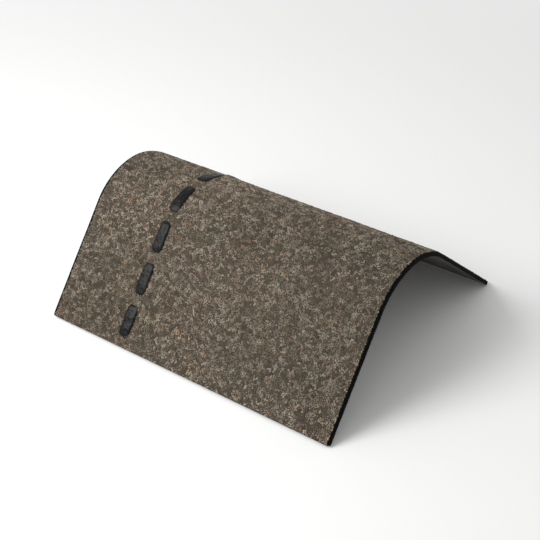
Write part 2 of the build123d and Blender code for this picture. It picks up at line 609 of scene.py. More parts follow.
def marking_tree():
    """Nodes that mark the faces of the flat box as cut or as back."""
    tree, given = new_tree(
        "cut and back faces",
        {"Box": "Geometry", "Half Size": "Vector", "Crushed Rim And Shade": "Float"},
        {"Marked": "Geometry"},
    )
    facing = add_node(tree, "GeometryNodeInputNormal")
    up = add_node(tree, "ShaderNodeSeparateXYZ", {"Vector": facing}).outputs["Z"]
    flatness = add_node(tree, "ShaderNodeMath", {0: up}, operation="ABSOLUTE")
    on_wall = add_node(tree, "FunctionNodeCompare", {"A": flatness, "B": LEVEL}, operation="LESS_THAN")
    on_back = add_node(tree, "FunctionNodeCompare", {"A": up, "B": -LEVEL}, operation="LESS_THAN")
    on_top = add_node(tree, "FunctionNodeCompare", {"A": up, "B": LEVEL}, operation="GREATER_THAN")
    place = add_node(tree, "GeometryNodeInputPosition")
    along = add_node(tree, "ShaderNodeSeparateXYZ", {"Vector": place}).outputs["X"]
    from_middle = add_node(tree, "ShaderNodeMath", {0: along}, operation="ABSOLUTE")
    half_along = add_node(tree, "ShaderNodeSeparateXYZ", {"Vector": given["Half Size"]}).outputs["X"]
    to_end = add_node(tree, "ShaderNodeMath", {0: half_along, 1: from_middle}, operation="SUBTRACT")
    near_end = add_node(
        tree, "FunctionNodeCompare", {"A": to_end, "B": given["Crushed Rim And Shade"]}, operation="LESS_THAN"
    )
    # The end rims of the top: crushed, and partly painted shade that widens the butt's dark line.
    crushed = add_node(tree, "FunctionNodeBooleanMath", {0: on_top, 1: near_end}, operation="AND")
    cut = add_node(tree, "FunctionNodeBooleanMath", {0: on_wall, 1: crushed}, operation="OR")
    marked = given["Box"]
    for name, chosen in (("cut", cut), ("back", on_back)):
        marked = add_node(
            tree,
            "GeometryNodeStoreNamedAttribute",
            {"Geometry": marked, "Name": name, "Value": chosen},
            data_type="BOOLEAN",
            domain="FACE",
        )
    add_node(tree, "NodeGroupOutput", {"Marked": marked})
    return tree


face_marks = marking_tree()
print("nodes for the marks:", len(face_marks.nodes))

# %% [markdown]
# The sheet's own tree puts these together. The box is one metre high at first, which makes a point's height a
# plain share from -0.5 to 0.5. Its columns and rows of faces are about two millimetres wide, fine enough for
# the bend and for the tears.

# %% The tree of the asphalt sheet
def sheet_tree():
    """Nodes that draw the flat sheet with its cut edges, bend it and finish it."""
    tree, given = new_tree(
        "asphalt sheet",
        {
            "Half Size": "Vector",
            "Height": "Float",
            "Vertices X": "Int",
            "Vertices Y": "Int",
            "Vertices Z": "Int",
            "Corner Radius": "Float",
            **CUT_INPUTS,
            "Crushed Rim And Shade": "Float",
            "Top Finish": "Material",
            "Cut Finish": "Material",
            "Back Finish": "Material",
        },
        {"Sheet": "Geometry"},
    )
    half = given["Half Size"]
    size = add_node(tree, "ShaderNodeVectorMath", {0: half, "Scale": 2.0}, operation="SCALE")
    counts = {name: given[name] for name in ("Vertices X", "Vertices Y", "Vertices Z")}
    box = add_node(tree, "GeometryNodeMeshCube", {"Size": size, **counts})
    marked = add_node(
        tree,
        "GeometryNodeGroup",
        {"Box": box, "Half Size": half, "Crushed Rim And Shade": given["Crushed Rim And Shade"]},
        node_tree=face_marks,
    )

    place = add_node(tree, "GeometryNodeInputPosition")
    share = add_node(tree, "ShaderNodeSeparateXYZ", {"Vector": place}).outputs["Z"]
    up_wall = add_node(tree, "ShaderNodeMath", {0: share, 1: 2.0}, operation="MULTIPLY")
    cut = {name: given[name] for name in CUT_INPUTS}
    inset = add_node(tree, "GeometryNodeGroup", {"Up Wall": up_wall, **cut}, node_tree=cut_inset)
    in_plan = add_node(
        tree,
        "GeometryNodeGroup",
        {"Half Size": half, "Inset": inset, "Corner Radius": given["Corner Radius"]},
        node_tree=rounded_plan,
    )
    plan = add_node(tree, "ShaderNodeSeparateXYZ", {"Vector": in_plan}).outputs
    from_back = add_node(tree, "ShaderNodeMath", {0: share, 1: 0.5}, operation="ADD")
    height = add_node(tree, "ShaderNodeMath", {0: from_back, 1: given["Height"]}, operation="MULTIPLY")
    spot = add_node(tree, "ShaderNodeCombineXYZ", {"X": plan["X"], "Y": plan["Y"], "Z": height})
    flat = add_node(tree, "GeometryNodeSetPosition", {"Geometry": marked, "Position": spot})

    bent = add_node(tree, "GeometryNodeGroup", {"Flat": flat, **BEND_SETTINGS}, node_tree=bend)
    smooth = add_node(tree, "GeometryNodeSetShadeSmooth", {"Geometry": bent})
    real = add_node(tree, "GeometryNodeRealizeInstances", {"Geometry": smooth})
    finished = add_node(
        tree, "GeometryNodeSetMaterial", {"Geometry": real, "Material": given["Top Finish"]}
    )
    for name, finish in (("cut", "Cut Finish"), ("back", "Back Finish")):
        chosen = add_node(tree, "GeometryNodeInputNamedAttribute", {"Name": name}, data_type="BOOLEAN")
        finished = add_node(
            tree,
            "GeometryNodeSetMaterial",
            {"Geometry": finished, "Selection": chosen, "Material": given[finish]},
        )
    add_node(tree, "NodeGroupOutput", {"Sheet": finished})
    return tree


bent_sheet = sheet_tree()
print("nodes for the sheet:", len(bent_sheet.nodes))

# %% [markdown]
# Now the tree runs with the sheet's real sizes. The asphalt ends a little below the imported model's top face,
# because granules that are bedded in it stand out of it and make up the rest.

# %% Make the asphalt sheet
GRID_STEP = 2.0 * MM
GRANULE_BEDDING = 0.75 * MM
WALL_ROWS = 8
bed_height = SHEET_THICKNESS - GRANULE_BEDDING
asphalt_sheet = make_piece(
    "asphalt_sheet",
    bpy.data.meshes.new("empty"),
    bent_sheet,
    {
        "Half Size": (half_length, half_girth, 0.5),
        "Height": bed_height,
        "Vertices X": 2 * round(half_length / GRID_STEP) + 1,
        "Vertices Y": 2 * round(half_girth / GRID_STEP) + 1,
        "Vertices Z": WALL_ROWS + 1,
        "Corner Radius": 2.0 * MM,
        **CUT_SETTINGS,
        # width of the end rims, which are crushed and partly painted shade
        "Crushed Rim And Shade": GRID_STEP,
        "Top Finish": coating,
        "Cut Finish": sheared_edge_with_shade,
        "Back Finish": sanded_back,
    },
)
print("sheet finishes:", [finish.name for finish in asphalt_sheet.data.materials])
print("lowest point, mm:", round(min(v.co.z for v in asphalt_sheet.data.vertices) / MM, 3))

# %% [markdown]
# The granules. Roofing granules are basalt or rhyolite, crushed, sieved to one or two millimetres and
# coated with fired ceramic pigment. A factory drops a blend of colours on the hot asphalt, and the mix
# gives the roof its colour. A bump could only hint at that, so each granule here is a small closed rock.
# They are too many to place by hand: a few rock shapes are made, and Geometry Nodes scatter them.
#
# A rock's corners start evenly spread over a ball, each turned 137.5 degrees on from the one before, as the
# seeds of a sunflower are, and then move a little at random. Each rock has a map of its own shape seen from
# above. The scatter tree shrinks it to a dot and moves it to the granule's own place on a chart of the
# blend, so that one small chart can hold the colours of all granules.

# %% A handful of crushed rock shapes
ROCK_SHAPES = 6
ROCK_POINTS = 9
ROCK_FLATNESS = 0.72
ROCK_REACH = (0.41, 0.54)
EVEN_TURN = math.radians(137.5)
TURN_SPREAD = 0.5
CHART = "OFBake"  # the name of each rock's map, and of the chart it is moved to


def rock_mesh(seed):
    """A crushed rock about one unit wide: the hull of a few points thrown near a flattened ball."""
    dice = np.random.default_rng(seed)
    shape = bmesh.new()
    for number in range(ROCK_POINTS):
        rise = 1 - (2 * number + 1) / ROCK_POINTS
        turn = number * EVEN_TURN + dice.uniform(-TURN_SPREAD, TURN_SPREAD)
        ring = math.sqrt(1 - rise**2)
        reach = dice.uniform(*ROCK_REACH)
        shape.verts.new(
            (reach * ring * math.cos(turn), reach * ring * math.sin(turn), reach * rise * ROCK_FLATNESS)
        )
    bmesh.ops.convex_hull(shape, input=shape.verts)
    bmesh.ops.triangulate(shape, faces=shape.faces)
    bmesh.ops.recalc_face_normals(shape, faces=shape.faces)
    chart = shape.loops.layers.uv.new(CHART)
    for face in shape.faces:
        for corner in face.loops:
            corner[chart].uv = corner.vert.co.xy
    mesh = bpy.data.meshes.new(f"rock_{seed}")
    shape.to_mesh(mesh)
    shape.free()
    return mesh


rocks = bpy.data.collections.new("rock shapes")
for number in range(ROCK_SHAPES):
    rocks.objects.link(bpy.data.objects.new(f"rock_{number}", rock_mesh(number)))

# %% [markdown]
# The blend. Each granule gets two numbers from 0 to 1: its tone, from the darkest granules to the palest, and
# its warmth, from olive grey to rust. Like granules fall in small drifts, so both numbers are part the
# granule's own and part those of a cell a few millimetres wide. The blend also shades slowly from one hand's
# breadth to the next, which a wide noise adds to both. The noise is shifted so that this slow shading also
# runs from lighter at the head to darker at the butt, which is painted light and shade.

# %% Tone and warmth of a granule
BLEND_INPUTS = {
    "Drift Width": "Float",
    "Drift Share": "Float",
    "Shade Width": "Float",
    "Shade And Painted Light Shift": "Vector",
    "Shade": "Float",
}


def blend_tree():
    """Nodes that give each point its tone and its warmth."""
    tree, given = new_tree("blend of granules", BLEND_INPUTS, {"Tone": "Float", "Warmth": "Float"})
    place = add_node(tree, "GeometryNodeInputPosition")
    cells_per_metre = add_node(
        tree, "ShaderNodeMath", {0: 1.0, 1: given["Drift Width"]}, operation="DIVIDE"
    )
    cell = add_node(tree, "ShaderNodeTexVoronoi", {"Vector": place, "Scale": cells_per_metre})
    of_cell = add_node(tree, "FunctionNodeSeparateColor", {"Color": cell.outputs["Color"]}).outputs
    shades_per_metre = add_node(
        tree, "ShaderNodeMath", {0: 1.0, 1: given["Shade Width"]}, operation="DIVIDE"
    )
    # The shift places the slow shading so that it also paints light and shade along the cap.
    shifted = add_node(tree, "ShaderNodeVectorMath", {0: place, 1: given["Shade And Painted Light Shift"]}, operation="ADD")
    shade_and_light_cloud = add_node(
        tree, "ShaderNodeTexNoise", {"Vector": shifted, "Scale": shades_per_metre, "Detail": 1.0}
    )
    of_shade_and_light_cloud = add_node(tree, "FunctionNodeSeparateColor", {"Color": shade_and_light_cloud.outputs["Color"]}).outputs
    found = {}
    for seed, (name, channel) in enumerate((("Tone", "Red"), ("Warmth", "Green")), start=1):
        own = add_node(tree, "FunctionNodeRandomValue", {"Seed": seed}, data_type="FLOAT")
        mixed = add_node(
            tree,
            "ShaderNodeMix",
            {"Factor": given["Drift Share"], "A": own, "B": of_cell[channel]},
            data_type="FLOAT",
        )
        off_middle = add_node(tree, "ShaderNodeMath", {0: of_shade_and_light_cloud[channel], 1: 0.5}, operation="SUBTRACT")
        found[name] = add_node(
            tree,
            "ShaderNodeMath",
            {0: off_middle, 1: given["Shade"], 2: mixed},
            operation="MULTIPLY_ADD",
            use_clamp=True,
        )
    add_node(tree, "NodeGroupOutput", found)
    return tree


blend = blend_tree()
print("nodes for the blend:", len(blend.nodes))

# %% [markdown]
# How a granule lies. It is turned any way round, tipped a little to either side, and anything from fine to
# coarse in size. The rock shape is picked by a number too.

# %% Turn, size and shape of a granule
LIE_INPUTS = {"Tilt": "Float", "Smallest": "Float", "Largest": "Float", "Last Rock": "Int"}
TURN_SEED = 3
SIZE_SEED = 4
ROCK_SEED = 5


def lie_tree():
    """Nodes that give each point a turn off its surface, a size and the number of a rock."""
    tree, given = new_tree(
        "lie of a granule",
        {"Upright": "Rotation", **LIE_INPUTS},
        {"Rotation": "Rotation", "Size": "Float", "Rock": "Int"},
    )
    tilt_back = add_node(tree, "ShaderNodeMath", {0: given["Tilt"], 1: -1.0}, operation="MULTIPLY")
    least_turn = add_node(tree, "ShaderNodeCombineXYZ", {"X": tilt_back, "Y": tilt_back})
    most_turn = add_node(
        tree, "ShaderNodeCombineXYZ", {"X": given["Tilt"], "Y": given["Tilt"], "Z": 2 * math.pi}
    )
    turn = add_node(
        tree,
        "FunctionNodeRandomValue",
        {"Min": least_turn, "Max": most_turn, "Seed": TURN_SEED},
        data_type="FLOAT_VECTOR",
    )
    own_turn = add_node(tree, "FunctionNodeEulerToRotation", {"Euler": turn})
    turned = add_node(
        tree,
        "FunctionNodeRotateRotation",
        {"Rotation": given["Upright"], "Rotate By": own_turn},
        rotation_space="LOCAL",
    )
    size = add_node(
        tree,
        "FunctionNodeRandomValue",
        {"Min": given["Smallest"], "Max": given["Largest"], "Seed": SIZE_SEED},
        data_type="FLOAT",
    )
    rock = add_node(
        tree,
        "FunctionNodeRandomValue",
        {"Min": 0, "Max": given["Last Rock"], "Seed": ROCK_SEED},
        data_type="INT",
    )
    add_node(tree, "NodeGroupOutput", {"Rotation": turned, "Size": size, "Rock": rock})
    return tree


lie = lie_tree()
print("nodes for the lie:", len(lie.nodes))

# %% [markdown]
# Where the granules lie. Points are spread over the bent bed so that no two are nearer than a spacing. One
# piece with all the granules would be too heavy to handle, so the tree keeps only the points in a strip of Y.

# %% Spread points over a strip of the bed
SPREAD_INPUTS = {"From Y": "Float", "To Y": "Float", "Spacing": "Float", "Density": "Float", "Seed": "Int"}


def spread_tree():
    """Nodes that spread points over a strip of the bed and say which way is up at each."""
    tree, given = new_tree(
        "points over the bed",
        {"Bed": "Geometry", **SPREAD_INPUTS},
        {"Points": "Geometry", "Upright": "Rotation"},
    )
    spread = add_node(
        tree,
        "GeometryNodeDistributePointsOnFaces",
        {
            "Mesh": given["Bed"],
            "Distance Min": given["Spacing"],
            "Density Max": given["Density"],
            "Seed": given["Seed"],
        },
        distribute_method="POISSON",
    ).outputs
    place = add_node(tree, "GeometryNodeInputPosition")
    y = add_node(tree, "ShaderNodeSeparateXYZ", {"Vector": place}).outputs["Y"]
    past_from = add_node(
        tree, "FunctionNodeCompare", {"A": y, "B": given["From Y"]}, operation="GREATER_EQUAL"
    )
    before_to = add_node(tree, "FunctionNodeCompare", {"A": y, "B": given["To Y"]}, operation="LESS_THAN")
    in_strip = add_node(tree, "FunctionNodeBooleanMath", {0: past_from, 1: before_to}, operation="AND")
    kept = add_node(
        tree,
        "GeometryNodeSeparateGeometry",
        {"Geometry": spread["Points"], "Selection": in_strip},
        domain="POINT",
    )
    add_node(tree, "NodeGroupOutput", {"Points": kept, "Upright": spread["Rotation"]})
    return tree


strip_points = spread_tree()
print("nodes for the points:", len(strip_points.nodes))

# %% [markdown]
# The chart of the blend has the tone along one side and the warmth up the other. Each rock's map, the rock as
# it looks from above, is shrunk to a dot and moved to the rock's own place there.

# %% Put each rock's map on the chart
def chart_tree():
    """Nodes that move every rock's map to the place on the chart that its tone and warmth name."""
    tree, given = new_tree(
        "chart of the blend", {"Real": "Geometry", "Chart Dot": "Float"}, {"Charted": "Geometry"}
    )
    seen_from_above = add_node(
        tree, "GeometryNodeInputNamedAttribute", {"Name": CHART}, data_type="FLOAT_VECTOR"
    )
    its_tone = add_node(tree, "GeometryNodeInputNamedAttribute", {"Name": "tone"}, data_type="FLOAT")
    its_warmth = add_node(tree, "GeometryNodeInputNamedAttribute", {"Name": "warmth"}, data_type="FLOAT")
    chart_place = add_node(tree, "ShaderNodeCombineXYZ", {"X": its_tone, "Y": its_warmth})
    dot = add_node(
        tree, "ShaderNodeVectorMath", {0: seen_from_above, "Scale": given["Chart Dot"]}, operation="SCALE"
    )
    on_chart = add_node(tree, "ShaderNodeVectorMath", {0: chart_place, 1: dot}, operation="ADD")
    charted = add_node(
        tree,
        "GeometryNodeStoreNamedAttribute",
        {"Geometry": given["Real"], "Name": CHART, "Value": on_chart},
        data_type="FLOAT2",
        domain="CORNER",
    )
    add_node(tree, "NodeGroupOutput", {"Charted": charted})
    return tree


chart = chart_tree()
print("nodes for the chart:", len(chart.nodes))

# %% [markdown]
# The scatter tree puts these together. It bends the flat bed, spreads the points over it, gives each its tone
# and warmth and then a rock, and once the rocks are real it charts them.

# %% Build the scatter tree
def granule_tree():
    """Nodes that bend the flat bed and bed crushed rocks in it."""
    tree, given = new_tree(
        "granules bedded in asphalt",
        {
            "Bed": "Geometry",
            **SPREAD_INPUTS,
            "Rocks": "Collection",
            **LIE_INPUTS,
            **BLEND_INPUTS,
            "Chart Dot": "Float",
            "Finish": "Material",
        },
        {"Granules": "Geometry"},
    )
    bent_bed = add_node(tree, "GeometryNodeGroup", {"Flat": given["Bed"], **BEND_SETTINGS}, node_tree=bend)
    spacing = {name: given[name] for name in SPREAD_INPUTS}
    points = add_node(tree, "GeometryNodeGroup", {"Bed": bent_bed, **spacing}, node_tree=strip_points).outputs

    colours = {name: given[name] for name in BLEND_INPUTS}
    of_blend = add_node(tree, "GeometryNodeGroup", colours, node_tree=blend).outputs
    marked = points["Points"]
    for name in ("Tone", "Warmth"):
        marked = add_node(
            tree,
            "GeometryNodeStoreNamedAttribute",
            {"Geometry": marked, "Name": name.lower(), "Value": of_blend[name]},
            data_type="FLOAT",
            domain="POINT",
        )
    turns = {"Upright": points["Upright"], **{name: given[name] for name in LIE_INPUTS}}
    of_lie = add_node(tree, "GeometryNodeGroup", turns, node_tree=lie).outputs
    shapes = add_node(
        tree,
        "GeometryNodeCollectionInfo",
        {"Collection": given["Rocks"], "Separate Children": True, "Reset Children": True},
    )
    bedded = add_node(
        tree,
        "GeometryNodeInstanceOnPoints",
        {
            "Points": marked,
            "Instance": shapes,
            "Pick Instance": True,
            "Instance Index": of_lie["Rock"],
            "Rotation": of_lie["Rotation"],
            "Scale": of_lie["Size"],
        },
    )
    real = add_node(tree, "GeometryNodeRealizeInstances", {"Geometry": bedded})
    charted = add_node(
        tree, "GeometryNodeGroup", {"Real": real, "Chart Dot": given["Chart Dot"]}, node_tree=chart
    )
    finished = add_node(
        tree, "GeometryNodeSetMaterial", {"Geometry": charted, "Material": given["Finish"]}
    )
    add_node(tree, "NodeGroupOutput", {"Granules": finished})
    return tree


scatter = granule_tree()
print("nodes in the scatter tree:", len(scatter.nodes))

# %% [markdown]
# The granules' finish is fired ceramic pigment on crushed rock: dry and matte, one colour to a granule. The
# tone picks the colour from the blend, from umber to a few pale tans, and the warmth tints it, as the
# photograph shows olive and rusty spots here and there. Fine pits from the kiln break up the gloss of the
# facets. Real pits are about 0.1 mm wide, too fine to show here, so they are drawn five times as coarse.

# %% Ceramic pigment of the blend
KILN_PIT_WIDTH = 0.5 * MM
KILN_PIT_DEPTH = 0.06 * MM
ceramic_pigment, tree = new_material("fired ceramic pigment on crushed rock")
tone = add_node(tree, "ShaderNodeAttribute", attribute_name="tone").outputs["Fac"]
warmth = add_node(tree, "ShaderNodeAttribute", attribute_name="warmth").outputs["Fac"]
pigment = add_node(
    tree,
    "ShaderNodeValToRGB",
    {"Fac": tone},
    (
        (0.00, "#32291d"),
        (0.20, "#494032"),
        (0.40, "#5f5748"),
        (0.60, "#73695b"),
        (0.80, "#867d70"),
        (1.00, "#a29889"),
    ),
)
tint = add_node(
    tree,
    "ShaderNodeValToRGB",
    {"Fac": warmth},
    ((0.15, "#f3f9f0"), (0.50, "#fffdf8"), (0.80, "#fff2e6"), (0.95, "#ffdcc2")),
)
colour = add_node(
    tree,
    "ShaderNodeMix",
    {"Factor": 1.0, "A": pigment, "B": tint},
    data_type="RGBA",
    blend_type="MULTIPLY",
)
dryness = add_node(tree, "ShaderNodeMapRange", {"Value": warmth, "To Min": 0.6, "To Max": 0.9})
place = add_node(tree, "ShaderNodeTexCoord")
kiln_pits = add_node(
    tree,
    "ShaderNodeTexNoise",
    {"Vector": place.outputs["Object"], "Scale": 1 / KILN_PIT_WIDTH, "Detail": 2.0},
)
relief = add_node(tree, "ShaderNodeBump", {"Height": kiln_pits, "Distance": KILN_PIT_DEPTH})
shader = add_node(
    tree,
    "ShaderNodeBsdfPrincipled",
    {"Base Color": colour, "Roughness": dryness, "IOR": 1.5, "Normal": relief},
)
add_node(tree, "ShaderNodeOutputMaterial", {"Surface": shader})
print("finish of the granules:", ceramic_pigment.name)

# %% [markdown]
# The bed under the granules is an open surface that ends a little inside the cut edges, and further in at the
# two end rims, which are crushed and partly painted shade. The scatter fills it face by face, so over even
# faces the granules would line up like a weave. That is why its faces are a few granules wide and their
# corners are moved at random.

# %% The flat bed
BED_CELL = 5.0 * MM
BED_JITTER = 0.35
BED_SEED = 7
EDGE_MARGIN = 0.9 * MM
END_MARGIN = 2.3 * MM


def bed_mesh():
    """The flat surface that the granules are bedded in, before it is bent."""
    reach = (half_length - END_MARGIN, half_girth - EDGE_MARGIN)
    long, wide = (round(2 * side / BED_CELL) for side in reach)
    along = np.linspace(-reach[0], reach[0], long + 1)
    girth = np.linspace(-reach[1], reach[1], wide + 1)
    places = np.stack(np.meshgrid(along, girth, indexing="ij"), axis=-1)
    jitter = np.random.default_rng(BED_SEED).uniform(-BED_JITTER, BED_JITTER, (long - 1, wide - 1, 2))
    places[1:-1, 1:-1] += jitter * BED_CELL
    points = [(x, y, bed_height) for x, y in places.reshape(-1, 2).tolist()]
    corners = [i * (wide + 1) + j for i in range(long) for j in range(wide)]
    mesh = bpy.data.meshes.new("bed")
    mesh.from_pydata(points, [], [(c, c + wide + 1, c + wide + 2, c + 1) for c in corners])
    return mesh


bed = bed_mesh()
print("bed faces:", len(bed.polygons))

# %% [markdown]
# All four granule pieces scatter over the same bed with the same seed, and each keeps its own strip of it, so
# no seam shows between them.
#
# Real granules are 1 to 1.7 mm wide, one or two pixels of the render. They are drawn half as wide again, so
# that single ones show, and so that few enough cover the sheet for the pieces to stay light.

# %% Lay the granules
WING_START = 57.0 * MM
PAST_RIM = 200.0 * MM
STRIP_EDGES = (-PAST_RIM, -WING_START, 0.0, WING_START, PAST_RIM)
STRIP_NAMES = ("minus_y_wing", "minus_y_bend", "plus_y_bend", "plus_y_wing")
GRANULE_SETTINGS = {
    "Rocks": rocks,
    "Last Rock": ROCK_SHAPES - 1,
    "Spacing": 1.22 * MM,
    "Density": 2.6e6,  # points tried on each square metre, more than the spacing lets through
    "Smallest": 1.5 * MM,
    "Largest": 2.6 * MM,
    "Tilt": math.radians(30.0),
    "Drift Width": 3.0 * MM,
    "Drift Share": 0.8,
    "Shade Width": 80.0 * MM,
    # where the slow shading is read: chosen so that it also paints lighter towards the head and darker towards
    # the butt
    "Shade And Painted Light Shift": (1.93, 1.42, 0.43),
    "Shade": 0.45,
    "Chart Dot": 0.004,  # the width of a rock's dot, as a share of the chart
    "Finish": ceramic_pigment,
    "Seed": 11,
}

granule_pieces = [
    make_piece(f"granules_{name}", bed, scatter, {**GRANULE_SETTINGS, "From Y": from_y, "To Y": to_y})
    for name, from_y, to_y in zip(STRIP_NAMES, STRIP_EDGES, STRIP_EDGES[1:])
]
print("granule triangles in all:", sum(len(piece.data.polygons) for piece in granule_pieces))

# %% [markdown]
# The sealant. It is a softer asphalt, laid hot through a notched roller, so each dash is a low pillow with
# rounded corners and slightly uneven sides, and its top sags into the granules below. It stays glossy,
# because nothing was dusted on it. Its skin is wavy every two or three millimetres, which breaks the gloss
# into patches.

# %% Hot-laid sealant
sealant = bare_asphalt(
    "hot-laid asphalt sealant",
    ((0.3, "#070707"), (0.7, "#131211")),
    width=2.6 * MM,
    relief_depth=0.3 * MM,
    noise={"Detail": 3.0},
    roughness={"To Min": 0.2, "To Max": 0.42},
    specular=0.13,
)
print("finish of the beads:", sealant.name)

# %% [markdown]
# One bead is pressed from a box of small faces, as a pillow with a flat foot. First its height: the top falls
# off steeply at the sides and only slightly over the middle.

# %% How high each point of a bead stands
LEVEL_INPUTS = {
    name: "Float" for name in ("Shoulder", "Crown Share", "Foot Level", "Side Level", "Dome Level")
}
CROWN_POWER = 2.0


def level_tree():
    """Nodes that say how high a point of a bead stands. Out is 0 at the middle and 1 at the side."""
    tree, given = new_tree(
        "height of a bead", {"Up": "Float", "Out": "Float", **LEVEL_INPUTS}, {"Level": "Float"}
    )
    out = given["Out"]
    shoulder = add_node(tree, "ShaderNodeMath", {0: out, 1: given["Shoulder"]}, operation="POWER")
    crown = add_node(tree, "ShaderNodeMath", {0: out, 1: CROWN_POWER}, operation="POWER")
    fall = add_node(
        tree,
        "ShaderNodeMix",
        {"Factor": given["Crown Share"], "A": shoulder, "B": crown},
        data_type="FLOAT",
    )
    top = add_node(
        tree,
        "ShaderNodeMapRange",
        {"Value": fall, "To Min": given["Dome Level"], "To Max": given["Side Level"]},
    )
    upper = add_node(tree, "FunctionNodeCompare", {"A": given["Up"], "B": 0.0}, operation="GREATER_THAN")
    level = add_node(
        tree,
        "GeometryNodeSwitch",
        {"Switch": upper, "False": given["Foot Level"], "True": top},
        input_type="FLOAT",
    )
    add_node(tree, "NodeGroupOutput", {"Level": level})
    return tree


bead_level = level_tree()
print("nodes for a bead's height:", len(bead_level.nodes))

# %% [markdown]
# Then its plan. The box's rings are square at first. Each ring's points are drawn on to a rounded square by
# the usual rule for one, that the two sides raised to a power add up to 1, and then stretched to the bead's
# length and width. The way out from the middle, from 0 to 1, is kept on every point for the next step.

# %% Press one bead
BEAD_INPUTS = {
    "Half Size": "Vector",
    "Vertices X": "Int",
    "Vertices Y": "Int",
    "Squareness": "Float",
    **LEVEL_INPUTS,
}
RING_POWER = 0.8  # below 1, the rings crowd a little towards the side


def pillow_tree():
    """Nodes that press a box into one flat-footed bead."""
    tree, given = new_tree("one bead", BEAD_INPUTS, {"Bead": "Geometry"})
    counts = {name: given[name] for name in ("Vertices X", "Vertices Y")}
    box = add_node(
        tree, "GeometryNodeMeshCube", {"Size": (2.0, 2.0, 2.0), "Vertices Z": 2, **counts}
    )
    place = add_node(tree, "GeometryNodeInputPosition")
    part = add_node(tree, "ShaderNodeSeparateXYZ", {"Vector": place}).outputs
    sides = [add_node(tree, "ShaderNodeMath", {0: part[way]}, operation="ABSOLUTE") for way in "XY"]
    ring = add_node(tree, "ShaderNodeMath", {0: sides[0], 1: sides[1]}, operation="MAXIMUM")
    out = add_node(tree, "ShaderNodeMath", {0: ring, 1: RING_POWER}, operation="POWER")
    power = given["Squareness"]
    raised = [add_node(tree, "ShaderNodeMath", {0: side, 1: power}, operation="POWER") for side in sides]
    together = add_node(tree, "ShaderNodeMath", {0: raised[0], 1: raised[1]}, operation="ADD")
    root = add_node(tree, "ShaderNodeMath", {0: 1.0, 1: power}, operation="DIVIDE")
    radius = add_node(tree, "ShaderNodeMath", {0: together, 1: root}, operation="POWER")
    pull = add_node(tree, "ShaderNodeMath", {0: out, 1: radius}, operation="DIVIDE")
    drawn_round = add_node(tree, "ShaderNodeVectorMath", {0: place, "Scale": pull}, operation="SCALE")
    stretched = add_node(
        tree, "ShaderNodeVectorMath", {0: drawn_round, 1: given["Half Size"]}, operation="MULTIPLY"
    )
    plan = add_node(tree, "ShaderNodeSeparateXYZ", {"Vector": stretched}).outputs

    levels = {name: given[name] for name in LEVEL_INPUTS}
    level = add_node(
        tree, "GeometryNodeGroup", {"Up": part["Z"], "Out": out, **levels}, node_tree=bead_level
    )
    spot = add_node(tree, "ShaderNodeCombineXYZ", {"X": plan["X"], "Y": plan["Y"], "Z": level})
    marked = add_node(
        tree,
        "GeometryNodeStoreNamedAttribute",
        {"Geometry": box, "Name": "out", "Value": out},
        data_type="FLOAT",
        domain="POINT",
    )
    bead = add_node(tree, "GeometryNodeSetPosition", {"Geometry": marked, "Position": spot})
    add_node(tree, "NodeGroupOutput", {"Bead": bead})
    return tree


pillow = pillow_tree()
print("nodes for one bead:", len(pillow.nodes))

# %% [markdown]
# No two real beads are alike. A noise over the flat strip pushes their sides in and out, most at the rim, and
# another lifts and dents their tops, most in the middle. The foot stays level, because it lies on the sheet.

# %% Make the beads uneven
UNEVEN_INPUTS = {
    name: "Float" for name in ("Side Flow", "Flow Width", "Lump", "Lump Width", "Foot Level", "Highest")
}
LUMP_POWER = 4.0  # a higher one lets the lumps reach nearer to the side


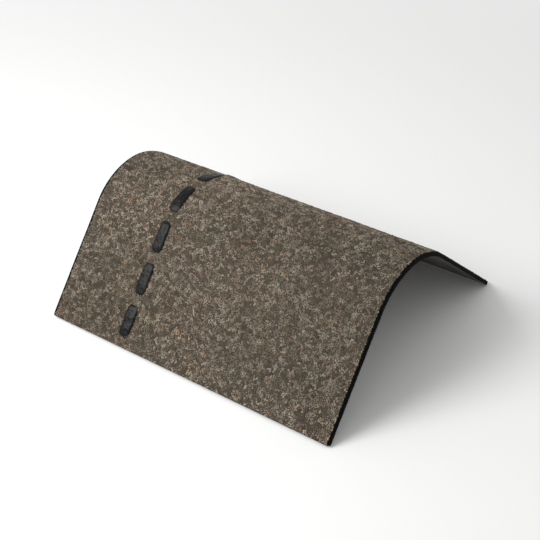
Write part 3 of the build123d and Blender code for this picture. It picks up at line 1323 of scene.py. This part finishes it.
def uneven_tree():
    """Nodes that say where a point of an even bead goes on a real one."""
    tree, given = new_tree("uneven beads", UNEVEN_INPUTS, {"Place": "Vector"})
    place = add_node(tree, "GeometryNodeInputPosition")
    part = add_node(tree, "ShaderNodeSeparateXYZ", {"Vector": place}).outputs
    out = add_node(tree, "GeometryNodeInputNamedAttribute", {"Name": "out"}, data_type="FLOAT")
    flows_per_metre = add_node(
        tree, "ShaderNodeMath", {0: 1.0, 1: given["Flow Width"]}, operation="DIVIDE"
    )
    flows = add_node(
        tree, "ShaderNodeTexNoise", {"Vector": place, "Scale": flows_per_metre, "Detail": 1.0}
    )
    way = add_node(
        tree,
        "ShaderNodeVectorMath",
        {0: flows.outputs["Color"], 1: (0.5, 0.5, 0.5)},
        operation="SUBTRACT",
    )
    most = add_node(tree, "ShaderNodeMath", {0: out, 1: given["Side Flow"]}, operation="MULTIPLY")
    flow = add_node(tree, "ShaderNodeVectorMath", {0: way, "Scale": most}, operation="SCALE")
    flowed = add_node(tree, "ShaderNodeVectorMath", {0: place, 1: flow}, operation="ADD")
    flowed_part = add_node(tree, "ShaderNodeSeparateXYZ", {"Vector": flowed}).outputs

    lumps_per_metre = add_node(
        tree, "ShaderNodeMath", {0: 1.0, 1: given["Lump Width"]}, operation="DIVIDE"
    )
    lumps = add_node(
        tree, "ShaderNodeTexNoise", {"Vector": place, "Scale": lumps_per_metre, "Detail": 2.0}
    )
    up_or_down = add_node(
        tree,
        "ShaderNodeMapRange",
        {"Value": lumps, **NOISE_WHOLE, "To Min": -1.0, "To Max": 1.0},
        clamp=False,
    )
    near_side = add_node(tree, "ShaderNodeMath", {0: out, 1: LUMP_POWER}, operation="POWER")
    on_top = add_node(tree, "ShaderNodeMath", {0: 1.0, 1: near_side}, operation="SUBTRACT")
    highest_lump = add_node(tree, "ShaderNodeMath", {0: on_top, 1: given["Lump"]}, operation="MULTIPLY")
    raised = add_node(
        tree, "ShaderNodeMath", {0: up_or_down, 1: highest_lump, 2: part["Z"]}, operation="MULTIPLY_ADD"
    )
    held = add_node(tree, "ShaderNodeMath", {0: raised, 1: given["Highest"]}, operation="MINIMUM")
    above_foot = add_node(
        tree, "FunctionNodeCompare", {"A": part["Z"], "B": given["Foot Level"]}, operation="GREATER_THAN"
    )
    level = add_node(
        tree,
        "GeometryNodeSwitch",
        {"Switch": above_foot, "False": part["Z"], "True": held},
        input_type="FLOAT",
    )
    spot = add_node(
        tree, "ShaderNodeCombineXYZ", {"X": flowed_part["X"], "Y": flowed_part["Y"], "Z": level}
    )
    add_node(tree, "NodeGroupOutput", {"Place": spot})
    return tree


uneven = uneven_tree()
print("nodes for uneven beads:", len(uneven.nodes))

# %% [markdown]
# The strip. The beads follow the girth at even steps, so copies of the one bead stand on the points of a
# line. They are made real before the noise moves them, each in its own way, and the bend comes last.

# %% The tree of the strip
def strip_tree():
    """Nodes that set beads out along the girth, make them uneven and bend the strip."""
    tree, given = new_tree(
        "strip of sealant",
        {
            "Beads": "Int",
            "Pitch": "Float",
            "Strip X": "Float",
            **BEAD_INPUTS,
            **UNEVEN_INPUTS,
            "Finish": "Material",
        },
        {"Strip": "Geometry"},
    )
    even_bead = {name: given[name] for name in BEAD_INPUTS}
    bead = add_node(tree, "GeometryNodeGroup", even_bead, node_tree=pillow)
    steps = add_node(tree, "ShaderNodeMath", {0: given["Beads"], 1: 1.0}, operation="SUBTRACT")
    back_steps = add_node(tree, "ShaderNodeMath", {0: steps, 1: -0.5}, operation="MULTIPLY")
    first_y = add_node(tree, "ShaderNodeMath", {0: back_steps, 1: given["Pitch"]}, operation="MULTIPLY")
    first = add_node(tree, "ShaderNodeCombineXYZ", {"X": given["Strip X"], "Y": first_y})
    step = add_node(tree, "ShaderNodeCombineXYZ", {"Y": given["Pitch"]})
    row = add_node(
        tree, "GeometryNodeMeshLine", {"Count": given["Beads"], "Start Location": first, "Offset": step}
    )
    copies = add_node(tree, "GeometryNodeInstanceOnPoints", {"Points": row, "Instance": bead})
    real = add_node(tree, "GeometryNodeRealizeInstances", {"Geometry": copies})
    unevenness = {name: given[name] for name in UNEVEN_INPUTS}
    place = add_node(tree, "GeometryNodeGroup", unevenness, node_tree=uneven)
    flat = add_node(tree, "GeometryNodeSetPosition", {"Geometry": real, "Position": place})
    bent = add_node(tree, "GeometryNodeGroup", {"Flat": flat, **BEND_SETTINGS}, node_tree=bend)
    smooth = add_node(tree, "GeometryNodeSetShadeSmooth", {"Geometry": bent})
    finished = add_node(
        tree, "GeometryNodeSetMaterial", {"Geometry": smooth, "Material": given["Finish"]}
    )
    add_node(tree, "NodeGroupOutput", {"Strip": finished})
    return tree


bead_strip = strip_tree()
print("nodes for the strip:", len(bead_strip.nodes))

# %% [markdown]
# Now the tree runs with the strip's real sizes. A bead's foot reaches down between the granules to the
# asphalt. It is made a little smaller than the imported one, which leaves room for what the noise adds, and
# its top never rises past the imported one's.

# %% Lay the beads
BEADS = 8
BEAD_LENGTH = 30.0 * MM
BEAD_GAP = 9.0 * MM
BEAD_HEIGHT = 1.1 * MM
BEAD_FOOT = 0.8 * MM
SIDE_ROOM = 0.55 * MM
TOP_ROOM = 0.12 * MM
FACES_ACROSS = 28
FACES_ALONG = 56
bead_width = strip_high.x - strip_low.x
sealant_beads = make_piece(
    "sealant_beads",
    bpy.data.meshes.new("empty"),
    bead_strip,
    {
        "Beads": BEADS,
        "Pitch": BEAD_LENGTH + BEAD_GAP,
        "Strip X": (strip_high.x + strip_low.x) / 2,
        "Half Size": (bead_width / 2 - SIDE_ROOM, BEAD_LENGTH / 2 - SIDE_ROOM, 1.0),
        "Vertices X": FACES_ACROSS + 1,
        "Vertices Y": FACES_ALONG + 1,
        "Squareness": 4.8,
        "Shoulder": 7.0,
        "Crown Share": 0.2,
        "Foot Level": SHEET_THICKNESS - BEAD_FOOT,
        "Side Level": SHEET_THICKNESS - BEAD_FOOT / 2,
        "Dome Level": SHEET_THICKNESS + BEAD_HEIGHT - TOP_ROOM,
        "Highest": SHEET_THICKNESS + BEAD_HEIGHT,
        "Side Flow": 1.8 * MM,
        "Flow Width": 9.0 * MM,
        "Lump": 0.3 * MM,
        "Lump Width": 5.0 * MM,
        "Finish": sealant,
    },
)
print("highest point of the beads, mm:", round(max(v.co.z for v in sealant_beads.data.vertices) / MM, 3))

# %% [markdown]
# Last, each piece is tied to the imported model: it rides on the one body, and the imported piece that it
# stands for is hidden.

# %% Tie the pieces to the imported model and finish
for piece in (asphalt_sheet, *granule_pieces):
    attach(piece, "root")
    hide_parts("cap_sheet")
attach(sealant_beads, "root")
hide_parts("self_seal_strip")
for rock in list(rocks.objects):
    bpy.data.objects.remove(rock)
bpy.data.collections.remove(rocks)
